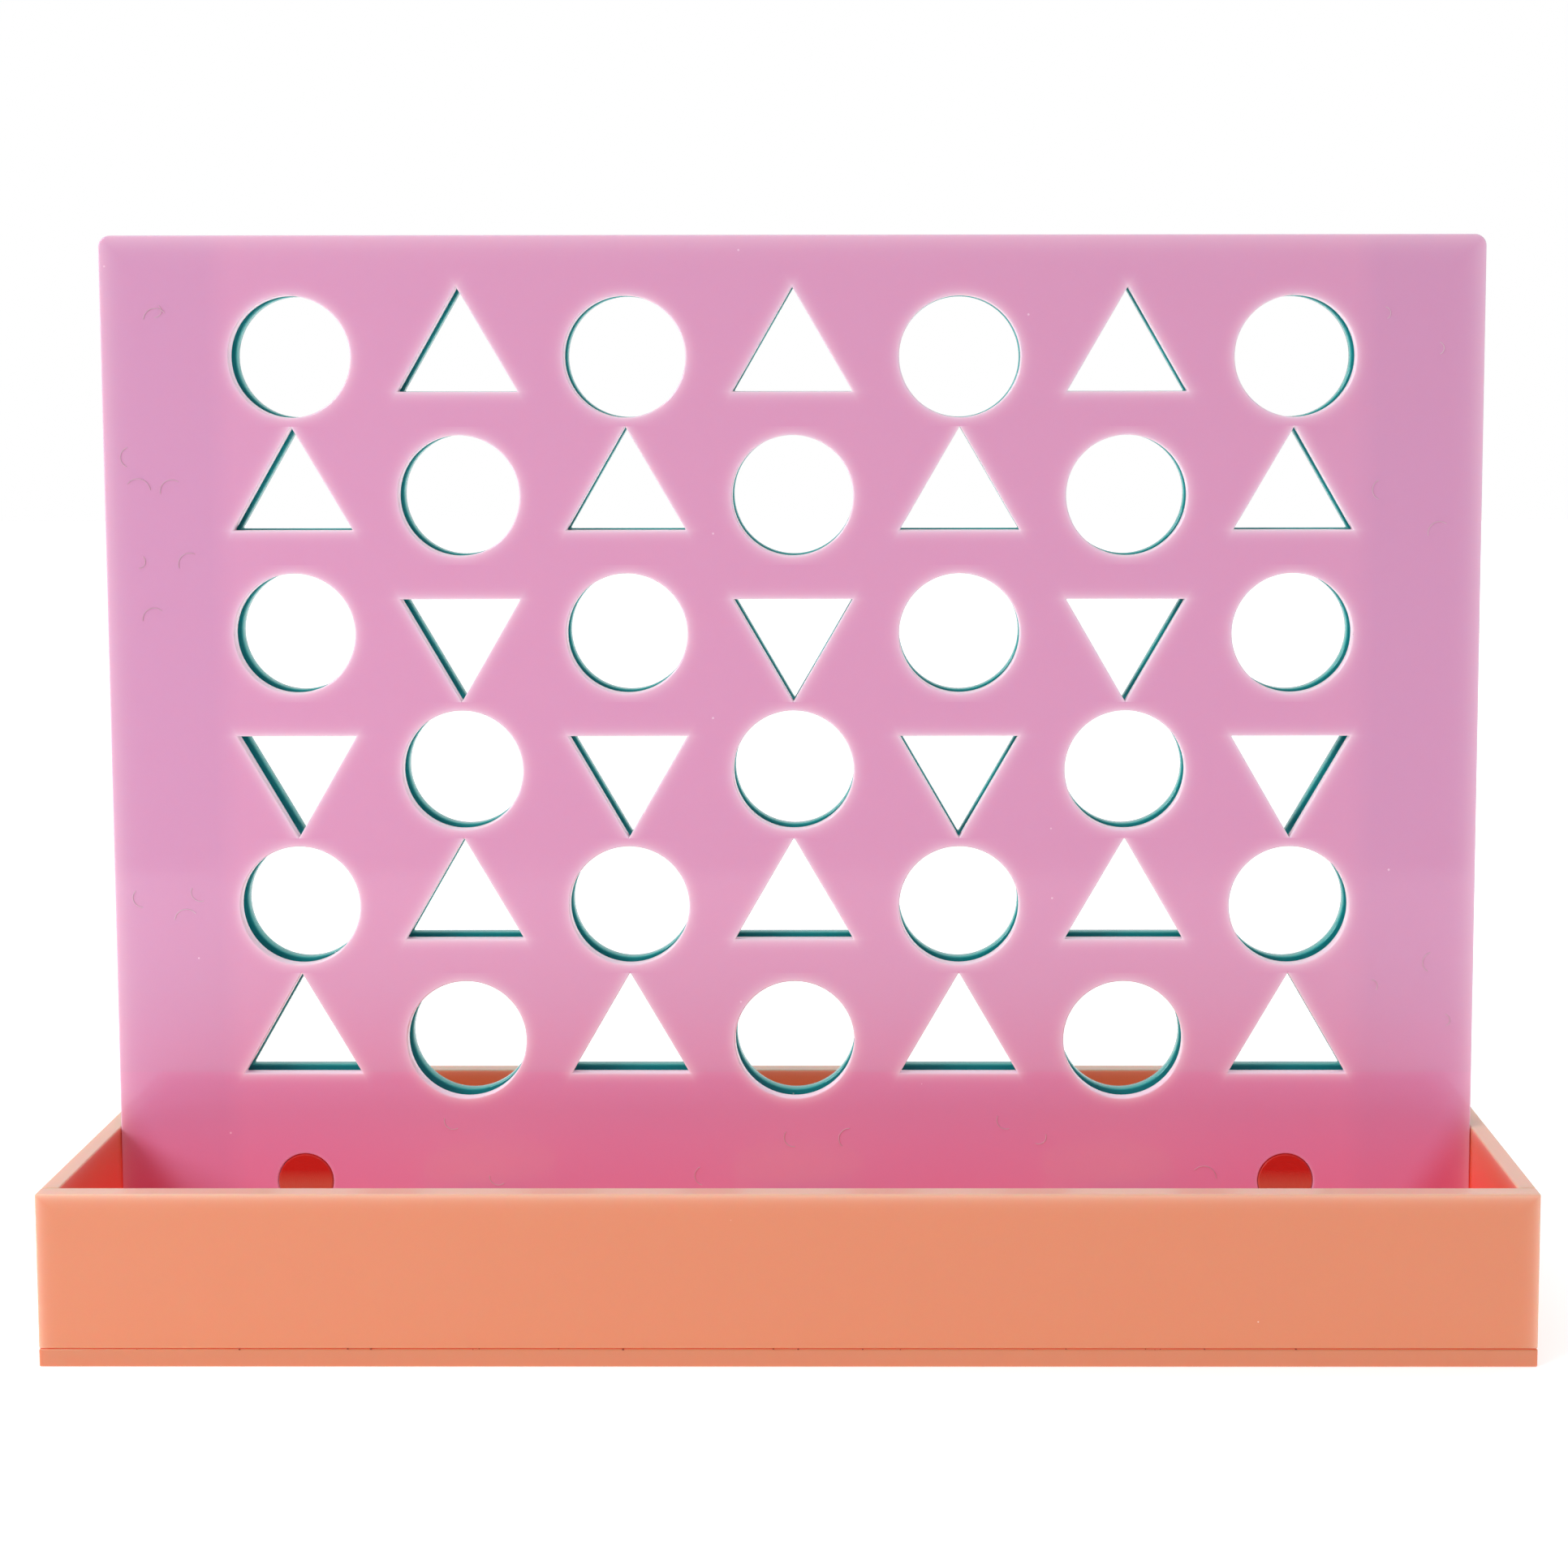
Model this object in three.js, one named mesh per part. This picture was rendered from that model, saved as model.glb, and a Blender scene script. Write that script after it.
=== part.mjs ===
// Tabletop four-in-a-row game in cast acrylic sheet.
// An open tray carries an upright rail. A board made of two pierced panels with spacer strips between them drops over
// that rail, and the rail's top edge is the floor of the seven token columns. Lifting the board lets the tokens fall
// out into the tray. Between games the forty-two tokens lie in the tray in stacks of seven.
// Millimetres, +Z up, origin on the table under the middle of the tray, players facing each other along Y.

import * as THREE from 'three';
import { mergeVertices } from 'three/addons/utils/BufferGeometryUtils.js';

// Grid
const COLUMNS = 7;
const ROWS = 6;

// Tokens
const TOKEN_DIAMETER = 35.3;
const TOKEN_THICKNESS = 3.0;
const TOKENS_IN_STACK = 7;
const STACKS_IN_COMPARTMENT = 3;
const STACK_SPACING_GAP = 48.0;

// Board sheets and the strips between them
const PANEL_THICKNESS = 3.0;
const PANEL_CORNER_RADIUS = 2.0;
const DIVIDER_WIDTH = 6.0;
const SIDE_STRIP_WIDTH = 29.6;
const TOP_BORDER = 13.0;
const WINDOW_LIP = 2.25;

// Clearances
const TOKEN_SIDE_PLAY = 0.6;
const TOKEN_FACE_PLAY = 0.6;
const TOKEN_STACK_GAP = 0.1;
const FRONT_COMPARTMENT_PLAY = 3.65;
const BACK_COMPARTMENT_PLAY = 1.05;
const BOARD_END_CLEARANCE = 0.2;
const BOARD_FOOT_CLEARANCE = 0.3;
const RAIL_CLEARANCE = 0.3;
const STUD_CLEARANCE = 0.15;
const GLUE_GAP = 0.1;

// Tray
const WALL_THICKNESS = 4.4;
const TRAY_HEIGHT = 42.5;
const RAIL_HEIGHT = 43.6;

// Turned studs that tie the two panels together below the end columns
const STUD_HEAD_DIAMETER = 14.2;
const STUD_SHANK_DIAMETER = 6.0;
const STUD_BELOW_RAIL_TOP = 19.8;

// Facets round a circle
const WINDOW_FACETS = 32;
const TOKEN_FACETS = 24;
const STUD_FACETS = 32;

// Derived sizes
const tokenRadius = TOKEN_DIAMETER / 2;
const channelWidth = TOKEN_DIAMETER + 2 * TOKEN_SIDE_PLAY;
const columnPitch = channelWidth + DIVIDER_WIDTH;
const rowPitch = TOKEN_DIAMETER;
const panelGap = TOKEN_THICKNESS + 2 * TOKEN_FACE_PLAY;
const boardThickness = 2 * PANEL_THICKNESS + panelGap;
const channelsWidth = COLUMNS * channelWidth + (COLUMNS - 1) * DIVIDER_WIDTH;
const boardWidth = channelsWidth + 2 * SIDE_STRIP_WIDTH;
const trayInnerWidth = boardWidth + 2 * BOARD_END_CLEARANCE;
const trayWidth = trayInnerWidth + 2 * WALL_THICKNESS;
const frontCompartmentDepth = TOKEN_DIAMETER + 2 * FRONT_COMPARTMENT_PLAY;
const backCompartmentDepth = TOKEN_DIAMETER + 2 * BACK_COMPARTMENT_PLAY;
const trayInnerDepth = frontCompartmentDepth + boardThickness + backCompartmentDepth;
const trayDepth = trayInnerDepth + 2 * WALL_THICKNESS;

const trayFrontY = -trayDepth / 2;
const boardFrontY = trayFrontY + WALL_THICKNESS + frontCompartmentDepth;
const gapFrontY = boardFrontY + PANEL_THICKNESS;
const gapBackY = gapFrontY + panelGap;
const boardBackY = boardFrontY + boardThickness;

const trayFloorZ = WALL_THICKNESS;
const wallFootZ = trayFloorZ + GLUE_GAP;
const railTopZ = wallFootZ + RAIL_HEIGHT;
const boardFootZ = trayFloorZ + BOARD_FOOT_CLEARANCE;
const boardTopZ = railTopZ + ROWS * rowPitch + TOP_BORDER;
const studZ = railTopZ - STUD_BELOW_RAIL_TOP;

const columnX = (column) => (column - (COLUMNS - 1) / 2) * columnPitch;
const rowZ = (row) => railTopZ + (row + 0.5) * rowPitch;
const studColumns = [0, COLUMNS - 1];

const game = new THREE.Group();

const finishes = {
  pink: { color: 0xe09cc0, roughness: 0.18, metalness: 0 },
  teal: { color: 0x147b84, roughness: 0.18, metalness: 0 },
  coral: { color: 0xec9373, roughness: 0.18, metalness: 0 },
  deepCoral: { color: 0xc0372c, roughness: 0.2, metalness: 0 },
  clear: { color: 0xf2eef2, roughness: 0.12, metalness: 0 },
  yellow: { color: 0xf4cf4e, roughness: 0.18, metalness: 0 },
  blue: { color: 0x3a66c4, roughness: 0.18, metalness: 0 },
};

function addPart(name, geometry, finish) {
  geometry.deleteAttribute('normal');
  geometry.deleteAttribute('uv');
  const merged = mergeVertices(geometry, 1e-4);
  merged.computeVertexNormals();
  const mesh = new THREE.Mesh(merged, new THREE.MeshStandardMaterial(finishes[finish]));
  mesh.name = name;
  game.add(mesh);
  return mesh;
}

// A rectangular piece of sheet between two opposite corners.
function sheet(name, finish, low, high) {
  const size = high.map((value, axis) => value - low[axis]);
  const mesh = addPart(name, new THREE.BoxGeometry(...size), finish);
  mesh.position.set(...low.map((value, axis) => value + size[axis] / 2));
}

// An upright plate: an outline drawn in X and Z, with its front face at frontY. An arc gets two facets to a segment.
function uprightPlate(name, finish, outline, thickness, frontY, facets) {
  const options = { depth: thickness, bevelEnabled: false, curveSegments: facets / 2 };
  const geometry = new THREE.ExtrudeGeometry(outline, options);
  geometry.rotateX(Math.PI / 2);
  const mesh = addPart(name, geometry, finish);
  mesh.position.y = frontY + thickness;
}

function circularHole(x, z, radius) {
  return new THREE.Path().absarc(x, z, radius, 0, 2 * Math.PI, true);
}

// An equilateral hole whose corners lie on the circle of the token that it shows.
function triangularHole(x, z, pointsUp) {
  const firstAngle = pointsUp ? Math.PI / 2 : -Math.PI / 2;
  const corners = [0, 1, 2].map((corner) => {
    const angle = firstAngle - (corner * 2 * Math.PI) / 3;
    return new THREE.Vector2(x + tokenRadius * Math.cos(angle), z + tokenRadius * Math.sin(angle));
  });
  return new THREE.Path(corners);
}

// Windows alternate like a chequerboard. The triangles point down in the two middle rows and up in the others.
function boardWindows() {
  const holes = [];
  for (let row = 0; row < ROWS; row += 1) {
    const pointsUp = row < ROWS / 2 - 1 || row > ROWS / 2;
    for (let column = 0; column < COLUMNS; column += 1) {
      const isCircle = (row + column) % 2 === 1;
      const x = columnX(column);
      const z = rowZ(row);
      holes.push(isCircle ? circularHole(x, z, tokenRadius - WINDOW_LIP) : triangularHole(x, z, pointsUp));
    }
  }
  return holes;
}

function panelOutline(studHoleRadius) {
  const half = boardWidth / 2;
  const r = PANEL_CORNER_RADIUS;
  const outline = new THREE.Shape();
  outline.moveTo(-half, boardFootZ);
  outline.lineTo(half, boardFootZ);
  outline.lineTo(half, boardTopZ - r);
  outline.quadraticCurveTo(half, boardTopZ, half - r, boardTopZ);
  outline.lineTo(-half + r, boardTopZ);
  outline.quadraticCurveTo(-half, boardTopZ, -half, boardTopZ - r);
  outline.closePath();
  outline.holes = boardWindows();
  studColumns.forEach((column) => outline.holes.push(circularHole(columnX(column), studZ, studHoleRadius)));
  return outline;
}

function makeBoardPanels() {
  const headHole = STUD_HEAD_DIAMETER / 2 + STUD_CLEARANCE;
  const shankHole = STUD_SHANK_DIAMETER / 2 + STUD_CLEARANCE;
  uprightPlate('front_panel', 'pink', panelOutline(headHole), PANEL_THICKNESS, boardFrontY, WINDOW_FACETS);
  uprightPlate('back_panel', 'teal', panelOutline(shankHole), PANEL_THICKNESS, gapBackY, WINDOW_FACETS);
}

// Side strips run the full height of the board. Dividers stand above the rail, one between each pair of columns.
function makeSpacers() {
  const front = gapFrontY + GLUE_GAP;
  const back = gapBackY - GLUE_GAP;
  const top = boardTopZ - PANEL_CORNER_RADIUS;
  const inner = channelsWidth / 2;
  const outer = boardWidth / 2;
  sheet('left_side_strip', 'clear', [-outer, front, boardFootZ], [-inner, back, top]);
  sheet('right_side_strip', 'clear', [inner, front, boardFootZ], [outer, back, top]);
  for (let column = 1; column < COLUMNS; column += 1) {
    const middle = columnX(column) - columnPitch / 2;
    const low = [middle - DIVIDER_WIDTH / 2, front, railTopZ + RAIL_CLEARANCE];
    const high = [middle + DIVIDER_WIDTH / 2, back, top];
    sheet(`column_divider_${column}`, 'clear', low, high);
  }
}

// Each stud has a wide head flush with the front panel and a thin shank through to the back panel's rear face.
function makeStuds() {
  const headRadius = STUD_HEAD_DIAMETER / 2;
  const shankRadius = STUD_SHANK_DIAMETER / 2;
  const profile = [
    new THREE.Vector2(0, 0),
    new THREE.Vector2(headRadius, 0),
    new THREE.Vector2(headRadius, PANEL_THICKNESS),
    new THREE.Vector2(shankRadius, PANEL_THICKNESS),
    new THREE.Vector2(shankRadius, boardThickness),
    new THREE.Vector2(0, boardThickness),
  ];
  const names = ['left_stud', 'right_stud'];
  studColumns.forEach((column, index) => {
    const stud = addPart(names[index], new THREE.LatheGeometry(profile, STUD_FACETS), 'deepCoral');
    stud.position.set(columnX(column), boardFrontY, studZ);
  });
}

// The rail stands on the tray floor between the panels. Open slots in its top edge let the studs drop in.
function makeRail() {
  const half = channelsWidth / 2 - RAIL_CLEARANCE;
  const slotRadius = STUD_SHANK_DIAMETER / 2 + RAIL_CLEARANCE;
  const outline = new THREE.Shape();
  outline.moveTo(-half, wallFootZ);
  outline.lineTo(half, wallFootZ);
  outline.lineTo(half, railTopZ);
  [...studColumns].reverse().forEach((column) => {
    const x = columnX(column);
    outline.lineTo(x + slotRadius, railTopZ);
    outline.absarc(x, studZ, slotRadius, 0, -Math.PI, true);
    outline.lineTo(x - slotRadius, railTopZ);
  });
  outline.lineTo(-half, railTopZ);
  outline.closePath();
  const thickness = panelGap - 2 * RAIL_CLEARANCE;
  uprightPlate('token_rail', 'clear', outline, thickness, gapFrontY + RAIL_CLEARANCE, STUD_FACETS / 2);
}

// The front and back walls run the full width, the end walls fit between them, and all stand on the base plate.
function makeTray() {
  const halfWidth = trayWidth / 2;
  const halfDepth = trayDepth / 2;
  const innerX = trayInnerWidth / 2;
  const innerY = trayInnerDepth / 2;
  const endY = innerY - GLUE_GAP;
  sheet('base_plate', 'coral', [-halfWidth, -halfDepth, 0], [halfWidth, halfDepth, trayFloorZ]);
  sheet('front_wall', 'coral', [-halfWidth, -halfDepth, wallFootZ], [halfWidth, -innerY, TRAY_HEIGHT]);
  sheet('back_wall', 'coral', [-halfWidth, innerY, wallFootZ], [halfWidth, halfDepth, TRAY_HEIGHT]);
  sheet('left_end_wall', 'coral', [-halfWidth, -endY, wallFootZ], [-innerX, endY, TRAY_HEIGHT]);
  sheet('right_end_wall', 'coral', [innerX, -endY, wallFootZ], [halfWidth, endY, TRAY_HEIGHT]);
}

// Tokens lie flat in stacks: one colour in the front compartment, the other in the back compartment.
function makeTokens(colour, compartmentMiddleY) {
  const stackPitch = TOKEN_DIAMETER + STACK_SPACING_GAP;
  let number = 1;
  for (let stack = 0; stack < STACKS_IN_COMPARTMENT; stack += 1) {
    const x = (stack - (STACKS_IN_COMPARTMENT - 1) / 2) * stackPitch;
    for (let layer = 0; layer < TOKENS_IN_STACK; layer += 1) {
      const disc = new THREE.CylinderGeometry(tokenRadius, tokenRadius, TOKEN_THICKNESS, TOKEN_FACETS);
      disc.rotateX(Math.PI / 2);
      const token = addPart(`${colour}_token_${String(number).padStart(2, '0')}`, disc, colour);
      const footZ = wallFootZ + layer * (TOKEN_THICKNESS + TOKEN_STACK_GAP);
      token.position.set(x, compartmentMiddleY, footZ + TOKEN_THICKNESS / 2);
      number += 1;
    }
  }
}

makeTray();
makeRail();
makeBoardPanels();
makeSpacers();
makeStuds();
makeTokens('yellow', boardFrontY - frontCompartmentDepth / 2);
makeTokens('blue', boardBackY + backCompartmentDepth / 2);

export default game;
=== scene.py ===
import math

import bmesh
import bpy
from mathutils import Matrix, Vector


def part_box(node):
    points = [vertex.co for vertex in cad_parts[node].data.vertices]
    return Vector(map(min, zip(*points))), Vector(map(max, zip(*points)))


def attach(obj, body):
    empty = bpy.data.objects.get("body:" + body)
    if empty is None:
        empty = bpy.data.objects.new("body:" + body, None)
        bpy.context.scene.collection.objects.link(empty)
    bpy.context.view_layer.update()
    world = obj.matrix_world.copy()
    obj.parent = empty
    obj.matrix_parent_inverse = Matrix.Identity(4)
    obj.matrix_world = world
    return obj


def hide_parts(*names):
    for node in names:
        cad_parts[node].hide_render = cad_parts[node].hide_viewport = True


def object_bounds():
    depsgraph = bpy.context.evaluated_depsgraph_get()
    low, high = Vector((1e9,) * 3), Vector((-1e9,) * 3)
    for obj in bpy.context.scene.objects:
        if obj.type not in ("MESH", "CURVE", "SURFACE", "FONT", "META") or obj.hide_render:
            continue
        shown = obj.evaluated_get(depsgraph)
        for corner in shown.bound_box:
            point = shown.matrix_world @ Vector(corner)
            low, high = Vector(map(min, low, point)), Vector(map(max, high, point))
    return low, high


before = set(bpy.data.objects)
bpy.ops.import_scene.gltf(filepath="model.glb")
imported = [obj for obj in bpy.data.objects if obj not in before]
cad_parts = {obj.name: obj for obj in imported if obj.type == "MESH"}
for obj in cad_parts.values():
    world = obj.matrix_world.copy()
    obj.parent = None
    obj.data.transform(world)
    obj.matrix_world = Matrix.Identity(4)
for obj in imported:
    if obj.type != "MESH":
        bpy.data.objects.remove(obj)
cad_low, cad_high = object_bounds()


# ---- Viewer and studio -------------------------------------------------------------------------------------
# The set stands on a white table, and the viewer sits square in front of it, a little right of the middle,
# with the eyes a little below the board's top edge. A large soft box hangs high on the left, and the room
# behind the viewer is dimmer than the table, which is a light table, lit a little from below.
viewer_lens = bpy.data.cameras.new("viewer")
viewer_lens.lens = 50.81
viewer_lens.sensor_width = 36.0
viewer_lens.shift_x = -0.0613
viewer_lens.shift_y = -0.1584
viewer = bpy.data.objects.new("viewer", viewer_lens)
viewer.location = (0.0239, cad_low.y - 0.5153, 0.238)
viewer.rotation_euler = (math.radians(85.803), math.radians(0.059), math.radians(0.163))
bpy.context.scene.collection.objects.link(viewer)
bpy.context.scene.camera = viewer
bpy.context.scene.view_settings.view_transform = "Standard"


def place(name, mesh):
    """Links a mesh into the scene as an object at the origin."""
    piece = bpy.data.objects.new(name, mesh)
    bpy.context.scene.collection.objects.link(piece)
    return piece


def node(tree, kind, sockets=None, **settings):
    """Adds a node. Sockets are given by name or number, and take a value or another node's output."""
    made = tree.nodes.new(kind)
    for key, value in settings.items():
        setattr(made, key, value)
    for key, value in (sockets or {}).items():
        if isinstance(value, bpy.types.NodeSocket):
            tree.links.new(value, made.inputs[key])
        else:
            made.inputs[key].default_value = value
    return made


def calc(tree, operation, *values):
    """A Math node's result."""
    return node(tree, "ShaderNodeMath", dict(enumerate(values)), operation=operation).outputs[0]


def blend_colour(tree, amount, first, second):
    """The first colour fading into the second as the amount goes from 0 to 1."""
    return node(tree, "ShaderNodeMix", {0: amount, 6: first, 7: second}, data_type="RGBA").outputs[2]


def srgb(red, green, blue):
    """A colour given on the usual 0 to 255 screen scale, as the linear colour that a shader takes."""
    scaled = [value / 255 for value in (red, green, blue)]
    return (*[value / 12.92 if value <= 0.04045 else ((value + 0.055) / 1.055) ** 2.4 for value in scaled],
            1.0)


def make_room():
    """White where the viewer looks past the set; for light and reflections, dimmer on the viewer's side."""
    world = bpy.data.worlds.new("studio")
    world.use_nodes = True
    tree = world.node_tree
    tree.nodes.clear()
    direction = node(tree, "ShaderNodeTexCoord").outputs["Generated"]
    axes = node(tree, "ShaderNodeSeparateXYZ", {"Vector": direction})
    towards_viewer = calc(tree, "SMOOTH_MIN",
                          calc(tree, "MAXIMUM", calc(tree, "MULTIPLY", axes.outputs["Y"], -1.6), 0.0),
                          1.0, 0.1)
    colour = blend_colour(tree, towards_viewer, (0.98, 0.98, 1.0, 1.0), (0.5, 0.5, 0.52, 1.0))
    room = node(tree, "ShaderNodeBackground", {"Color": colour, "Strength": 0.9})
    backdrop = node(tree, "ShaderNodeBackground", {"Color": (1.0, 1.0, 1.0, 1.0), "Strength": 1.0})
    seen = node(tree, "ShaderNodeLightPath").outputs["Is Camera Ray"]
    mixed = node(tree, "ShaderNodeMixShader", {0: seen, 1: room.outputs[0], 2: backdrop.outputs[0]})
    node(tree, "ShaderNodeOutputWorld", {"Surface": mixed.outputs[0]})
    bpy.context.scene.world = world


BOARD_MIDDLE = Vector((0.0, 0.0, 0.12))


def soft_box(name, side, watts, position):
    """A square area light aimed at the middle of the board."""
    light = bpy.data.lights.new(name, "AREA")
    light.size = side
    light.energy = watts
    lamp = bpy.data.objects.new(name, light)
    lamp.location = position
    aim = BOARD_MIDDLE - Vector(position)
    lamp.rotation_euler = aim.to_track_quat("-Z", "Y").to_euler()
    bpy.context.scene.collection.objects.link(lamp)


SOFT_BOX_SIDE = 0.9
SOFT_BOX_WATTS = 19.0
SOFT_BOX_PLACE = (-1.5, -0.95, 1.05)
make_room()
soft_box("left_soft_box", SOFT_BOX_SIDE, SOFT_BOX_WATTS, SOFT_BOX_PLACE)

TABLE_EDGE = 0.483
TABLE_REACH = 3.0
TABLE_WHITE = 0.93
TABLE_GLOW = 0.42
table_mesh = bpy.data.meshes.new("table")
table_mesh.from_pydata(
    [(-TABLE_REACH, -TABLE_EDGE, 0), (TABLE_REACH, -TABLE_EDGE, 0), (TABLE_REACH, TABLE_REACH, 0),
     (-TABLE_REACH, TABLE_REACH, 0)],
    [], [(0, 1, 2, 3)])
table = place("table", table_mesh)
table_paint = bpy.data.materials.new("white_table")
table_paint.use_nodes = True
table_shader = table_paint.node_tree.nodes["Principled BSDF"]
table_shader.inputs["Base Color"].default_value = (TABLE_WHITE, TABLE_WHITE, TABLE_WHITE, 1.0)
table_shader.inputs["Roughness"].default_value = 0.7
table_shader.inputs["Emission Color"].default_value = (1.0, 1.0, 1.0, 1.0)
table_shader.inputs["Emission Strength"].default_value = TABLE_GLOW
table_mesh.materials.append(table_paint)


# ---- Tray: base plate and walls ----------------------------------------------------------------------------
# Five pieces of milky coral cast acrylic, sawn, polished on the edges and solvent-cemented: the end walls fit
# between the full-width front and back walls, and all stand on the base plate. The pale cut edges are a
# painted highlight for the light that travels inside the sheet and comes out there, and the faces towards the
# tray's inside carry painted shade and a painted glow.
SHEET_EDGE_RADIUS = 0.0004


def new_group(name, kind, inputs, outputs):
    """An empty node group with named inputs and outputs. Returns the tree and its two end nodes."""
    tree = bpy.data.node_groups.new(name, kind)
    for label, socket in inputs.items():
        tree.interface.new_socket(name=label, in_out="INPUT", socket_type="NodeSocket" + socket)
    for label, socket in outputs.items():
        tree.interface.new_socket(name=label, in_out="OUTPUT", socket_type="NodeSocket" + socket)
    return tree, tree.nodes.new("NodeGroupInput"), tree.nodes.new("NodeGroupOutput")


def use_group(tree, group, sockets):
    """Places a shader group in a material and sets or links its inputs."""
    made = tree.nodes.new("ShaderNodeGroup")
    made.node_tree = group
    for key, value in sockets.items():
        if isinstance(value, bpy.types.NodeSocket):
            tree.links.new(value, made.inputs[key])
        else:
            made.inputs[key].default_value = value
    return made.outputs


def make_cut_edge_light():
    """The mask of the painted highlight along the cut edges round a sheet: 1 on the cut, fading over Falloff
    metres.
    """
    tree, given, result = new_group(
        "cut_edge_light", "ShaderNodeTree",
        {"Position": "Vector", "Low": "Vector", "High": "Vector", "Falloff": "Float"}, {"Light": "Float"})
    point, low, high = (node(tree, "ShaderNodeSeparateXYZ",
                             {0: given.outputs[key]}) for key in ("Position", "Low", "High"))
    nearest = 1.0
    for axis in range(3):
        from_low = calc(tree, "SUBTRACT", point.outputs[axis], low.outputs[axis])
        from_high = calc(tree, "SUBTRACT", high.outputs[axis], point.outputs[axis])
        nearest = calc(tree, "MINIMUM", nearest, calc(tree, "MINIMUM", from_low, from_high))
    depth = calc(tree, "DIVIDE", calc(tree, "MAXIMUM", nearest, 0.0), given.outputs["Falloff"])
    tree.links.new(calc(tree, "EXPONENT", calc(tree, "MULTIPLY", depth, -1.0)), result.inputs["Light"])
    return tree


def make_cast_haze():
    """The slow, cloudy drift of colour in a cast sheet."""
    tree, given, result = new_group(
        "cast_haze", "ShaderNodeTree",
        {"Position": "Vector", "Face Colour": "Color", "Haze Colour": "Color", "Amount": "Float"},
        {"Colour": "Color"})
    slow = node(tree, "ShaderNodeTexNoise",
                {"Vector": given.outputs["Position"], "Scale": 7.0, "Detail": 2.0})
    fine = node(tree, "ShaderNodeTexNoise",
                {"Vector": given.outputs["Position"], "Scale": 95.0, "Detail": 3.0})
    cloud = calc(tree, "ADD", calc(tree, "MULTIPLY", slow.outputs[0], 0.75),
                 calc(tree, "MULTIPLY", fine.outputs[0], 0.25))
    amount = calc(tree, "MULTIPLY", cloud, given.outputs["Amount"])
    tree.links.new(
        blend_colour(tree, amount, given.outputs["Face Colour"], given.outputs["Haze Colour"]),
        result.inputs["Colour"])
    return tree


def make_handling_marks():
    """Smudges, wiping marks and hairline scratches on a polished face."""
    tree, given, result = new_group(
        "handling_marks", "ShaderNodeTree",
        {"Position": "Vector", "Polish": "Float", "Smudge": "Float", "Scratch": "Float"},
        {"Roughness": "Float", "Height": "Float"})
    smear = node(tree, "ShaderNodeTexNoise",
                 {"Vector": given.outputs["Position"], "Scale": 26.0, "Detail": 5.0})
    smudge = node(tree, "ShaderNodeMapRange", {0: smear.outputs[0], 1: 0.46, 2: 0.72, 3: 0.0, 4: 1.0})
    scratches = 0.0
    for angle in (0.35, -0.8, 1.3):
        turned = node(tree, "ShaderNodeMapping", {0: given.outputs["Position"], "Rotation": (0.0, angle, 0.0),
                                                  "Scale": (1900.0, 300.0, 26.0)})
        line = node(tree, "ShaderNodeTexNoise", {"Vector": turned.outputs[0], "Scale": 1.0, "Detail": 0.0})
        kept = node(tree, "ShaderNodeMapRange", {0: line.outputs[0], 1: 0.72, 2: 0.78, 3: 0.0, 4: 1.0})
        scratches = calc(tree, "MAXIMUM", scratches, kept.outputs[0])
    rough = calc(tree, "ADD", given.outputs["Polish"],
                 calc(tree, "MULTIPLY", smudge.outputs[0], given.outputs["Smudge"]))
    cut = calc(tree, "MULTIPLY", scratches, given.outputs["Scratch"])
    tree.links.new(calc(tree, "ADD", rough, cut), result.inputs["Roughness"])
    tree.links.new(calc(tree, "MULTIPLY", cut, -1.0), result.inputs["Height"])
    return tree


def make_dust():
    """Sparse specks of dust: about one in nine cells of a grid of random points holds a speck."""
    tree, given, result = new_group(
        "dust_specks", "ShaderNodeTree", {"Position": "Vector", "Cells": "Float", "Size": "Float"},
        {"Speck": "Float"})
    cells = node(tree, "ShaderNodeTexVoronoi",
                 {"Vector": given.outputs["Position"], "Scale": given.outputs["Cells"]})
    chosen = node(tree, "ShaderNodeSeparateColor", {0: cells.outputs["Color"]})
    held = calc(tree, "GREATER_THAN", chosen.outputs[0], 0.89)
    size = calc(tree, "MULTIPLY", given.outputs["Size"], chosen.outputs[1])
    spot = calc(tree, "LESS_THAN", cells.outputs["Distance"], size)
    tree.links.new(calc(tree, "MULTIPLY", held, spot), result.inputs["Speck"])
    return tree


def make_saw_marks():
    """Fine lines that run through the thickness of a cut edge. Stretch is small along the thickness."""
    tree, given, result = new_group(
        "saw_marks", "ShaderNodeTree", {"Position": "Vector", "Stretch": "Vector"}, {"Height": "Float"})
    drawn = node(tree, "ShaderNodeVectorMath", {0: given.outputs["Position"], 1: given.outputs["Stretch"]},
                 operation="MULTIPLY")
    lines = node(tree, "ShaderNodeTexNoise", {"Vector": drawn.outputs[0], "Scale": 1.0, "Detail": 2.0})
    tree.links.new(lines.outputs[0], result.inputs["Height"])
    return tree


cut_edge_light = make_cut_edge_light()
cast_haze = make_cast_haze()
handling_marks = make_handling_marks()
dust_specks = make_dust()
saw_marks = make_saw_marks()


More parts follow.
